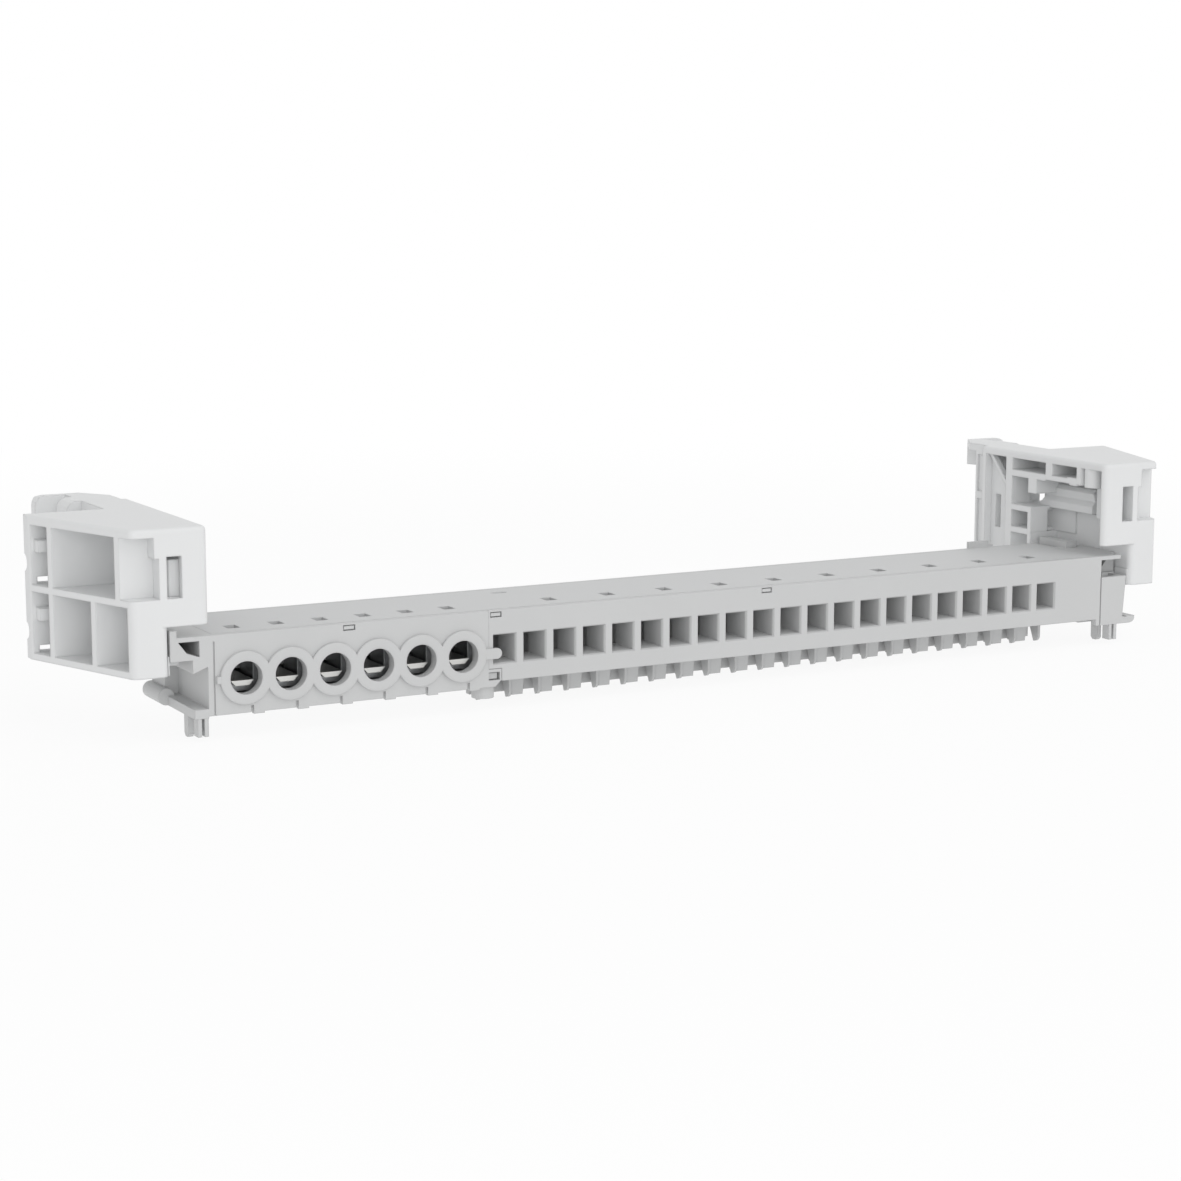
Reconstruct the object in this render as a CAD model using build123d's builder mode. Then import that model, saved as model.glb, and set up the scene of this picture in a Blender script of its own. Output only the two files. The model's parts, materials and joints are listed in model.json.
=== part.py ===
from build123d import *
import os
from math import cos, radians, sin, tan

os.makedirs("parts", exist_ok=True)

# The whole bar
bar_length = 236.4
bar_depth = 27.4
bar_height = 16.0
pin_drop = 6.6  # underside of the bar above the tips of the foot pins
screw_section_length = 65.2
wall = 1.25
rear_wall = 2.0
floor_thickness = 2.0
lid_thickness = 1.4
lid_gap = 0.1
seam_gap = 0.1

# Cable bores and their clamps
bore_count = 6
bore_pitch = 10.1
bore_end_distance = 8.2
bore_diameter = 7.15
bore_axis_height = 6.4
collar_width = 1.7
collar_proud = 0.8
front_wall = 1.8
clamp_wall = 1.2
screw_section_drop = 1.2
clamp_gap = 0.15
clamp_front = 4.2
clamp_depth = 7.6
clamp_side = 1.0
clamp_foot = 1.6
clamp_head = 2.4
clamp_bevel = 0.9
screw_diameter = 3.5
screw_length = 4.3
screw_play = 0.05
screw_slot = 0.7
screw_lowered = 3.2
cable_stop_thickness = 1.6
cable_stop_gap = 0.35

# Busbar
strip_front = 15.2
strip_depth = 6.0
strip_height = 2.3
tongue_height = 1.15
tongue_top_width = 5.2
tongue_bottom_width = 3.1
tongue_tip = 1.85  # behind the front face

# Plug entries
entry_count = 21
entry_pitch = 7.5
last_entry_gap = 17.25  # centre of the last entry to the right end
entry_width = 5.85
entry_height = 6.85
entry_sill = 3.8  # above the underside of the bar
entry_lip = 0.5
entry_lip_angle = 30.0
entry_taper = 2.0
entry_depth = 8.2
chamber_wall = 1.6
end_chamber_length = 10.0

# Release pushers, guide fins and rear comb
pusher_width = 3.3
pusher_offset = 1.25  # centre of the pusher right of the entry's centre
pusher_slope = 0.5
pusher_front = 11.0
pusher_depth = 3.6
pusher_reach = 5.9
pusher_gap = 0.1
pusher_travel = 1.6
shoulder_height = 1.8
shoulder_lip = 1.2
lifter_width = 0.5
fin_thickness = 0.7
fin_depth = 4.5
fin_reach = 6.5
fin_round = 1.6
comb_front = 15.8
comb_thickness = 1.8
comb_reach = 5.9
comb_groove = 0.5

# Spring leaves
leaf_thickness = 0.3
leaf_width = 5.3
leaf_front = 9.9
leaf_slope = 42.0  # degrees down towards the busbar
leaf_head_room = 0.3
leaf_tip_gap = 0.3

# Cover
slot_width = 4.0
slot_depth = 4.4
slot_centre = 8.0
probe_depth = 2.6
tab_width = 2.4
tab_height = 0.8
tab_play = 0.2
tab_distances = [32.0, 67.0, 137.4]  # from the left end
mark_distance = 78.2
mark_depth = 0.4

# Joint of the two housings
toe_length = 3.1
toe_depth = 6.6
toe_height = 4.0
toe_slant = 1.5
toe_window = 1.8
boss_diameter = 5.0
boss_drop = 2.7
key_height = 2.4
key_length = 2.9

# End hooks and foot pins
hook_reach = 6.1
hook_drop = 3.75
hook_wall = 0.9
hook_front_depth = 19.0
hook_tip_drop = 9.1
hook_post = 1.8
heel_reach = 3.0
flange_reach = 3.1
flange_drop = 1.6
flange_height = 3.7
cheek_offset = 5.4
cheek_thickness = 1.5
cheek_depth = 5.0
cheek_height = 11.2
rail_radius = 1.3
rail_reach = 9.8
left_pin_offset = 1.3
right_pin_offset = 4.3
pin_width = 2.4
pin_depth = 2.6
pin_spacing = 6.0
pin_slit = 0.6
pin_shortfall = 1.1

# Holders
holder_reach = 0.8  # in front of the bar's face
holder_overlap = 0.3  # inward over the bar's end
holder_front_width = 16.6
holder_flare = 19.8
holder_wing_length = 35.0
holder_wing_tail = 2.8
holder_rise = 23.25  # roof above the bar's top
holder_step_rise = 2.6
holder_step_width = 8.9
holder_foot_drop = 7.85
roof_thickness = 1.9
shelf_rise = 8.5
rib = 1.5
skin = 1.6
edge_round = 1.0
corner_round = 1.6
web_offset = 10.1
recess_depth = 3.75
column_depth = 5.4
column_inset = 0.9
column_width = 8.0
lower_split = 12.3
neck_width = 10.6
neck_length = 14.9
neck_lip = 3.4
head_width = 19.5
head_length = 17.9
head_inset = 1.8
head_round = 3.5
finger_width = 2.0
finger_setback = 3.4
finger_gap = 6.5
hidden_drop = 3.8  # foot of the hidden rear part under the bar's top
rear_clearance = 1.2
window_width = 4.3
window_height = 8.8
cavity_depth = 22.1
cavity_height = 8.5
bracket_front = 20.8
bracket_length = 9.2
hanger_depth = 3.6
hanger_drop = 4.1
post_front = 36.8
post_depth = 2.7
strut_drop = 7.7
panel_depth = 5.3
sight_hole = 3.4
arm_thickness = 2.8
arm_height = 6.9
arm_length = 17.5
arm_groove = 1.2
arm_gap = 1.3
arm_root = 3.4
half_round_radius = 3.0
notch_radius = 1.7
drum_radius = 2.2
drum_height = 2.6
stem_radius = 1.3
ledge_thickness = 1.65
ledge_gap = 0.35

# Places that follow from the sizes above
half = bar_length / 2
left_end = -half
wing_y = holder_wing_length * cos(radians(holder_flare)) - holder_reach
wing_back = wing_y + holder_wing_tail
neck_back = wing_back + neck_length
head_back = neck_back + head_length
front_y = (holder_reach - head_back) / 2
bar_base = pin_drop
bar_top = bar_base + bar_height
lid_base = bar_top - lid_thickness
chamber_floor = bar_base + floor_thickness
chamber_back = bar_depth - rear_wall
strip_top = chamber_floor + strip_height
tongue_top = strip_top + tongue_height
joint_x = left_end + screw_section_length
bore_z = bar_base + bore_axis_height
bore_radius = bore_diameter / 2
collar_radius = bore_radius + collar_width
bore_xs = [left_end + bore_end_distance + i * bore_pitch for i in range(bore_count)]
clamp_chamber = bore_pitch - clamp_wall
clamp_width = clamp_chamber - 2 * clamp_gap
clamp_top_underside = bore_z + bore_radius + clamp_gap
entry_z = bar_base + entry_sill + entry_height / 2
entry_xs = [half - last_entry_gap - (entry_count - 1 - i) * entry_pitch for i in range(entry_count)]
chamber_width = entry_pitch - chamber_wall
pusher_left = pusher_offset - pusher_width / 2
fin_left = pusher_left - pusher_gap - fin_thickness
screw_section_base = bar_base - screw_section_drop
flange_base = bar_base - flange_drop
hook_step = bar_top - hook_drop


def level(z):
    """Horizontal plane at height z, its y counted from the bar's front face."""
    return Plane(origin=(0, front_y, z))


def facing(y):
    """Upright plane facing the front, at depth y behind the bar's front face."""
    return Plane(origin=(0, front_y + y, 0), x_dir=(1, 0, 0), z_dir=(0, -1, 0))


def across(x):
    """Upright plane facing right at x, its own x counted from the bar's front face."""
    return Plane(origin=(x, front_y, 0), x_dir=(0, 1, 0), z_dir=(1, 0, 0))


def block(x, y, z, mode=Mode.ADD):
    """Box between the pairs of limits x, y and z, with y counted from the bar's front face."""
    with BuildSketch(level(z[0])) as base:
        with Locations(((x[0] + x[1]) / 2, (y[0] + y[1]) / 2)):
            Rectangle(x[1] - x[0], y[1] - y[0])
    extrude(to_extrude=base.sketch, amount=z[1] - z[0], mode=mode)


def row(xs, width, y, z, mode=Mode.ADD):
    """Boxes of one width centred on each of xs, between the limits y and z."""
    with BuildSketch(level(z[0])) as bases:
        with Locations(*[(x, (y[0] + y[1]) / 2) for x in xs]):
            Rectangle(width, y[1] - y[0])
    extrude(to_extrude=bases.sketch, amount=z[1] - z[0], mode=mode)


def prism(plane, corners, amount, mode=Mode.ADD):
    """Polygon on a plane drawn out by amount along the plane's normal."""
    with BuildSketch(plane) as outline:
        with BuildLine():
            Polyline(*corners, close=True)
        make_face()
    extrude(to_extrude=outline.sketch, amount=amount, mode=mode)


def peg(plane, centre, radius, amount, mode=Mode.ADD):
    """Round pin or hole on a plane."""
    with BuildSketch(plane) as disc:
        with Locations(centre):
            Circle(radius)
    extrude(to_extrude=disc.sketch, amount=amount, mode=mode)


def foot_pins(side, offset):
    """One solid and one split foot pin under an end of the bar."""
    inner = side * (half + offset)
    outer = inner + side * pin_width
    x = (min(inner, outer), max(inner, outer))
    mid = (x[0] + x[1]) / 2
    solid_y = (pin_spacing, pin_spacing + pin_depth)
    chamfer_height = pin_depth / 4
    prism(
        across(mid if side > 0 else x[0]),
        [
            (solid_y[0], flange_base),
            (solid_y[1], flange_base),
            (solid_y[1], chamfer_height),
            (solid_y[1] - chamfer_height, 0),
            (solid_y[0] + chamfer_height, 0),
            (solid_y[0], chamfer_height),
        ],
        pin_width / 2,
    )
    tine = (pin_width - pin_slit) / 2
    for start in (x[0], mid + pin_slit / 2):
        block((start, start + tine), (seam_gap, pin_depth), (pin_shortfall, flange_base))


def end_hook(side, front):
    """Shelf, sloping arm and V-shaped tip that a holder hangs on, drawn along the bar's depth."""
    root = side * half
    reach = side * (half + hook_reach)
    shelf_base = bar_top - hook_wall
    tip_z = bar_top - hook_tip_drop
    tip_x = side * (half + hook_reach * 0.4)
    inner_x = side * (half + hook_reach * 0.5)
    depth = front - hook_front_depth
    prism(
        facing(front),
        [
            (root, bar_top),
            (reach - side * hook_wall, bar_top),
            (reach - side * hook_wall, bar_top + hook_post),
            (reach, bar_top + hook_post),
            (reach, hook_step),
            (inner_x, hook_step),
            (tip_x, tip_z),
            (root, tip_z + hook_wall * 4),
        ],
        depth,
    )
    prism(
        facing(front),
        [
            (side * (half + hook_wall), shelf_base - hook_wall / 2),
            (reach - side * hook_wall, shelf_base - hook_wall),
            (reach - side * hook_wall * 1.7, hook_step + hook_wall),
            (inner_x, hook_step - hook_wall / 2),
            (side * (half + hook_wall), hook_step - hook_wall),
        ],
        depth,
        mode=Mode.SUBTRACT,
    )


# Busbar: one strip under all the terminals with a tongue into each cable bore
with BuildPart() as busbar:
    block(
        (left_end + 3.0, half - 12.0),
        (strip_front, strip_front + strip_depth),
        (chamber_floor, strip_top),
    )
    for x in bore_xs:
        prism(
            facing(tongue_tip),
            [
                (x - tongue_bottom_width / 2, strip_top),
                (x + tongue_bottom_width / 2, strip_top),
                (x + tongue_top_width / 2, tongue_top),
                (x - tongue_top_width / 2, tongue_top),
            ],
            tongue_tip - strip_front - strip_depth,
        )
busbar.part.label = "busbar"
export_step(busbar.part, "parts/busbar.step")


# Screw housing: cable bores, clamp chambers, left end hook and foot pins
with BuildPart() as screw_housing:
    block((left_end, joint_x), (0, bar_depth), (screw_section_base, bar_top))
    # merged ring collars round the bores, with an end tab and a tongue over the joint
    with BuildSketch(facing(0)) as collars:
        with Locations(*[(x, bore_z) for x in bore_xs]):
            Circle(collar_radius)
    extrude(to_extrude=collars.sketch, amount=collar_proud)
    block(
        (bore_xs[0] - collar_radius - wall, bore_xs[0] - bore_radius),
        (-collar_proud, 0),
        (bore_z - collar_proud, bore_z + collar_proud),
    )
    key_end = joint_x + key_length - key_height / 2
    block(
        (bore_xs[-1] + bore_radius, key_end),
        (-collar_proud, 0),
        (bore_z - key_height / 2, bore_z + key_height / 2),
    )
    peg(facing(0), (key_end, bore_z), key_height / 2, collar_proud)
    # toe that laps under the plug housing's front corner
    prism(
        facing(0),
        [
            (joint_x, screw_section_base),
            (joint_x + toe_length / 2, screw_section_base),
            (joint_x + toe_length, screw_section_base + toe_slant),
            (joint_x + toe_length, screw_section_base + toe_height),
            (joint_x, screw_section_base + toe_height),
        ],
        -toe_depth + seam_gap,
    )
    peg(
        level(screw_section_base - boss_drop),
        (joint_x, boss_diameter / 2 + collar_proud),
        boss_diameter / 2,
        boss_drop + toe_slant,
    )
    # end hook, heel behind it, flange and foot pins
    end_hook(-1, 0)
    block(
        (left_end - heel_reach, left_end),
        (hook_front_depth, bar_depth),
        (flange_base + flange_height / 2, bar_top - lid_thickness),
    )
    block((left_end - flange_reach, left_end), (0, bar_depth), (flange_base, flange_base + flange_height))
    foot_pins(-1, left_pin_offset - pin_width / 2)
    # slits and tabs along the bottom edge, one at each bore
    row(
        [x + bore_radius / 2 + clamp_wall for x in bore_xs],
        2 * clamp_wall,
        (0, wall),
        (screw_section_base - mark_depth, screw_section_base),
    )
    row(
        [x + bore_radius / 2 - pin_slit / 2 for x in bore_xs],
        pin_slit,
        (-collar_proud, wall / 2),
        (screw_section_base - mark_depth, screw_section_base + toe_slant),
        mode=Mode.SUBTRACT,
    )
    # bores, clamp chambers, channel for the busbar and seat for the cover
    with BuildSketch(facing(-collar_proud)) as bores:
        with Locations(*[(x, bore_z) for x in bore_xs]):
            Circle(bore_radius)
    extrude(to_extrude=bores.sketch, amount=-collar_proud - front_wall, mode=Mode.SUBTRACT)
    row(bore_xs, clamp_chamber, (front_wall, chamber_back), (chamber_floor, bar_top), mode=Mode.SUBTRACT)
    block(
        (left_end + 3.0, joint_x + seam_gap),
        (strip_front, strip_front + strip_depth),
        (chamber_floor, bar_top),
        mode=Mode.SUBTRACT,
    )
    block(
        (left_end + wall, joint_x),
        (wall, bar_depth - wall),
        (lid_base, bar_top),
        mode=Mode.SUBTRACT,
    )
    # windows for the cover's snap tab and for the plug housing's nub
    tab_x = left_end + tab_distances[0]
    block(
        (tab_x - tab_width / 2 - tab_play, tab_x + tab_width / 2 + tab_play),
        (0, wall),
        (lid_base - tab_play, lid_base + tab_height + tab_play),
        mode=Mode.SUBTRACT,
    )
    block(
        (joint_x, joint_x + toe_length - 2 * tab_play),
        (0, toe_depth),
        (screw_section_base + toe_slant, screw_section_base + toe_slant + toe_window),
        mode=Mode.SUBTRACT,
    )
screw_housing.part.label = "screw_housing"
export_step(screw_housing.part, "parts/screw_housing.step")


# Plug housing: square entries, wire chambers, guide fins, right end hook and foot pins
with BuildPart() as plug_housing:
    block((joint_x, half), (0, bar_depth), (bar_base, bar_top))
    # tapering entries with a bevelled lip
    with BuildSketch(facing(0)) as mouths:
        with Locations(*[(x, entry_z) for x in entry_xs]):
            Rectangle(entry_width, entry_height)
    extrude(to_extrude=mouths.sketch, amount=-entry_lip, taper=entry_lip_angle, mode=Mode.SUBTRACT)
    throat_width = entry_width - 2 * entry_lip * tan(radians(entry_lip_angle))
    throat_height = entry_height - 2 * entry_lip * tan(radians(entry_lip_angle))
    with BuildSketch(facing(entry_lip)) as throats:
        with Locations(*[(x, entry_z) for x in entry_xs]):
            Rectangle(throat_width, throat_height)
    extrude(
        to_extrude=throats.sketch,
        amount=entry_lip - entry_depth - seam_gap,
        taper=entry_taper,
        mode=Mode.SUBTRACT,
    )
    # wire chambers, channel for the busbar, empty end chamber and seat for the cover
    row(entry_xs, chamber_width, (entry_depth, chamber_back), (chamber_floor, bar_top), mode=Mode.SUBTRACT)
    row(
        [x + pusher_offset for x in entry_xs],
        pusher_width + 2 * pusher_gap,
        (pusher_front - pusher_gap, pusher_front + pusher_depth + pusher_gap),
        (bar_base, chamber_floor),
        mode=Mode.SUBTRACT,
    )
    row(
        entry_xs[2::2],
        slot_width,
        (slot_centre - slot_depth / 2, entry_depth),
        (lid_base - probe_depth, bar_top),
        mode=Mode.SUBTRACT,
    )
    block(
        (half - wall * 2 - end_chamber_length, half - wall * 2),
        (front_wall, chamber_back),
        (chamber_floor, bar_top),
        mode=Mode.SUBTRACT,
    )
    block(
        (joint_x, half - 12.0),
        (strip_front, strip_front + strip_depth),
        (chamber_floor, bar_top),
        mode=Mode.SUBTRACT,
    )
    block((joint_x, half - wall), (wall, bar_depth - wall), (lid_base, bar_top), mode=Mode.SUBTRACT)
    for distance in tab_distances[1:]:
        tab_x = left_end + distance
        block(
            (tab_x - tab_width / 2 - tab_play, tab_x + tab_width / 2 + tab_play),
            (0, wall),
            (lid_base - tab_play, lid_base + tab_height + tab_play),
            mode=Mode.SUBTRACT,
        )
    # notch for the screw housing's toe, with the nub that shows in its window
    block(
        (joint_x, joint_x + toe_length + seam_gap),
        (0, toe_depth),
        (bar_base, screw_section_base + toe_height + seam_gap),
        mode=Mode.SUBTRACT,
    )
    block(
        (joint_x + tab_play, joint_x + toe_length - 4 * tab_play),
        (pin_slit, toe_depth + tab_play),
        (
            screw_section_base + toe_slant + tab_play,
            screw_section_base + toe_slant + toe_window - tab_play,
        ),
    )
    # guide fins and rear comb wall under the floor
    fin_front = pusher_front - 2 * pusher_gap
    row(
        [x + fin_left + fin_thickness / 2 for x in entry_xs + [entry_xs[-1] + entry_pitch]],
        fin_thickness,
        (fin_front, fin_front + fin_depth),
        (bar_base - fin_reach, bar_base),
    )
    fin_ends = plug_housing.faces().sort_by(Axis.Z).filter_by(
        lambda face: abs(face.center().Z - bar_base + fin_reach) < seam_gap
    )
    fillet(fin_ends.edges().filter_by(Axis.X), fin_round)
    comb_left = entry_xs[0] + fin_left
    comb_right = entry_xs[-1] + entry_pitch + fin_left + fin_thickness
    block(
        (comb_left, comb_right),
        (comb_front, comb_front + comb_thickness),
        (bar_base - comb_reach, bar_base),
    )
    with BuildSketch(level(bar_base - comb_reach)) as grooves:
        with Locations(*[(x + entry_pitch / 2 + comb_groove * 2, comb_front) for x in entry_xs]):
            Rectangle(comb_groove, comb_groove * 2)
        with Locations(*[(x + entry_pitch / 2 - comb_groove, comb_front) for x in entry_xs]):
            Rectangle(comb_groove, comb_groove * 2)
    extrude(to_extrude=grooves.sketch, amount=comb_reach, mode=Mode.SUBTRACT)
    # catch at the rear edge
    catch_x = half - last_entry_gap
    block((catch_x - slot_width / 2, catch_x + slot_width), (bar_depth - lid_gap, bar_depth + wall / 2),
          (lid_base - lid_thickness, bar_top + wall / 2))
    # end hook set back, shelf in front, cheek, flange with its rail and foot pins
    end_hook(1, cheek_depth + clamp_gap)
    block((half, half + hook_reach), (0, cheek_depth + clamp_gap), (bar_top - hook_wall, bar_top))
    block(
        (half + hook_reach - hook_wall, half + hook_reach),
        (0, cheek_depth + clamp_gap),
        (bar_top, bar_top + hook_post),
    )
    prism(
        facing(0),
        [
            (half + cheek_offset, flange_base + cheek_height),
            (half + cheek_offset + cheek_thickness, flange_base + cheek_height),
            (half + cheek_offset + cheek_thickness + mark_depth, flange_base),
            (half + cheek_offset + mark_depth, flange_base),
        ],
        -cheek_depth,
    )
    block((half + rear_wall, half + rail_reach), (0, bar_depth), (flange_base, bar_base))
    block((half - rear_wall, half + 2 * rear_wall), (pin_spacing, bar_depth), (flange_base, bar_base))
    peg(facing(0), (half + rail_reach, flange_base + rail_radius + seam_gap), rail_radius, -pin_spacing)
    block(
        (half, half + heel_reach),
        (hook_front_depth, bar_depth),
        (flange_base, bar_top - lid_thickness),
    )
    foot_pins(1, right_pin_offset - pin_width / 2)
plug_housing.part.label = "plug_housing"
export_step(plug_housing.part, "parts/plug_housing.step")


# Cover: inset plate with access slots, snap tabs and a cable stop behind each clamp
with BuildPart() as cover:
    block(
        (left_end + wall + lid_gap, half - wall - lid_gap),
        (wall + lid_gap, bar_depth - wall - lid_gap),
        (lid_base, bar_top),
    )
    for distance in tab_distances:
        tab_x = left_end + distance
        block(
            (tab_x - tab_width / 2, tab_x + tab_width / 2),
            (tab_play, wall + lid_gap),
            (lid_base, lid_base + tab_height),
        )
    row(
        bore_xs,
        clamp_width,
        (strip_front - cable_stop_thickness - tab_play, strip_front - tab_play),
        (tongue_top + cable_stop_gap, lid_base),
    )
    with BuildSketch(level(lid_base)) as slots:
        with Locations(*[(x, slot_centre) for x in bore_xs + entry_xs[2::2]]):
            Rectangle(slot_width, slot_depth)
    extrude(to_extrude=slots.sketch, amount=lid_thickness, mode=Mode.SUBTRACT)
    with BuildSketch(level(bar_top)) as mark:
        with Locations((left_end + mark_distance, strip_front + strip_depth)):
            Ellipse(slot_width / 2, slot_width / 4)
    extrude(to_extrude=mark.sketch, amount=-mark_depth, mode=Mode.SUBTRACT)
cover.part.label = "cover"
export_step(cover.part, "parts/cover.step")


# Clamp frames: closed rings round the busbar's tongues, threaded on top for the clamp screws
clamp_foot_z = strip_top - clamp_foot
clamp_top_z = clamp_top_underside + clamp_head
for index, x in enumerate(bore_xs, start=1):
    with BuildPart() as clamp_frame:
        with BuildSketch(facing(clamp_front)) as ring:
            with Locations((x, (clamp_foot_z + clamp_top_z) / 2)):
                Rectangle(clamp_width, clamp_top_z - clamp_foot_z)
            chamfer(ring.vertices(), clamp_bevel)
            with Locations((x, (strip_top + clamp_top_underside) / 2)):
                Rectangle(
                    clamp_width - 2 * clamp_side,
                    clamp_top_underside - strip_top,
                    mode=Mode.SUBTRACT,
                )
        extrude(to_extrude=ring.sketch, amount=-clamp_depth)
        peg(
            level(clamp_top_underside),
            (x, slot_centre),
            screw_diameter / 2 + screw_play,
            clamp_head,
            mode=Mode.SUBTRACT,
        )
    clamp_frame.part.label = f"clamp_frame_{index}"
    export_step(clamp_frame.part, f"parts/clamp_frame_{index}.step")


# Clamp screws: slotted and headless, backed out except the last, which is screwed down
screw_top = lid_base - clamp_gap
with BuildPart() as clamp_screws:
    for x in bore_xs:
        drop = screw_lowered if x == bore_xs[-1] else 0
        top = screw_top - drop
        peg(level(top - screw_length), (x, slot_centre), screw_diameter / 2, screw_length)
        block(
            (x - screw_diameter, x + screw_diameter),
            (slot_centre - screw_slot / 2, slot_centre + screw_slot / 2),
            (top - screw_slot * 1.5, top),
            mode=Mode.SUBTRACT,
        )
clamp_screws.part.label = "clamp_screws"
export_step(clamp_screws.part, "parts/clamp_screws.step")


# Release pushers: one under each entry, its shoulder resting on the chamber floor
pusher_back = pusher_front + pusher_depth
lifter_right = chamber_width / 2 - pusher_gap
leaf_run = (lid_base - leaf_head_room - leaf_thickness - strip_top - leaf_tip_gap) / tan(radians(leaf_slope))
lifter_y = pusher_front + pusher_depth / 2
lifter_top = lid_base - leaf_head_room - leaf_thickness - (
    (lifter_y + pusher_depth / 4 - leaf_front) * tan(radians(leaf_slope))
) - pusher_travel - 2 * leaf_thickness
for index, x in enumerate(entry_xs, start=1):
    with BuildPart() as pusher:
        prism(
            facing(pusher_front),
            [
                (x + pusher_left, bar_base - pusher_reach),
                (x + pusher_left + pusher_width - pusher_slope, bar_base - pusher_reach),
                (x + pusher_left + pusher_width, bar_base),
                (x + pusher_left + pusher_width, chamber_floor),
                (x + pusher_left, chamber_floor),
            ],
            -pusher_depth,
        )
        block(
            (x + pusher_left - shoulder_lip, x + lifter_right),
            (pusher_front - shoulder_lip, pusher_back),
            (chamber_floor, chamber_floor + shoulder_height),
        )
        block(
            (x + lifter_right - lifter_width, x + lifter_right),
            (lifter_y - pusher_depth / 4, lifter_y + pusher_depth / 4),
            (chamber_floor + shoulder_height, lifter_top),
        )
    pusher.part.label = f"pusher_{index:02d}"
    export_step(pusher.part, f"parts/pusher_{index:02d}.step")


# Spring leaves: fixed leg under the cover, clamping leg sloping down to the busbar
leaf_top = lid_base - leaf_head_room
leaf_back = chamber_back - leaf_head_room
leaf_cos = cos(radians(leaf_slope))
leaf_sin = sin(radians(leaf_slope))
for index, x in enumerate(entry_xs, start=1):
    with BuildPart() as spring:
        prism(
            across(x - leaf_width / 2),
            [
                (leaf_front, leaf_top),
                (leaf_back, leaf_top),
                (leaf_back, chamber_floor + strip_height),
                (leaf_back - leaf_thickness, chamber_floor + strip_height),
                (leaf_back - leaf_thickness, leaf_top - leaf_thickness),
                (leaf_front + leaf_thickness * 3, leaf_top - leaf_thickness),
                (
                    leaf_front + leaf_thickness + leaf_run + leaf_thickness * leaf_sin,
                    strip_top + leaf_tip_gap + leaf_thickness * leaf_cos,
                ),
                (leaf_front + leaf_run, strip_top + leaf_tip_gap),
            ],
            leaf_width,
        )
    spring.part.label = f"spring_{index:02d}"
    export_step(spring.part, f"parts/spring_{index:02d}.step")


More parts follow.
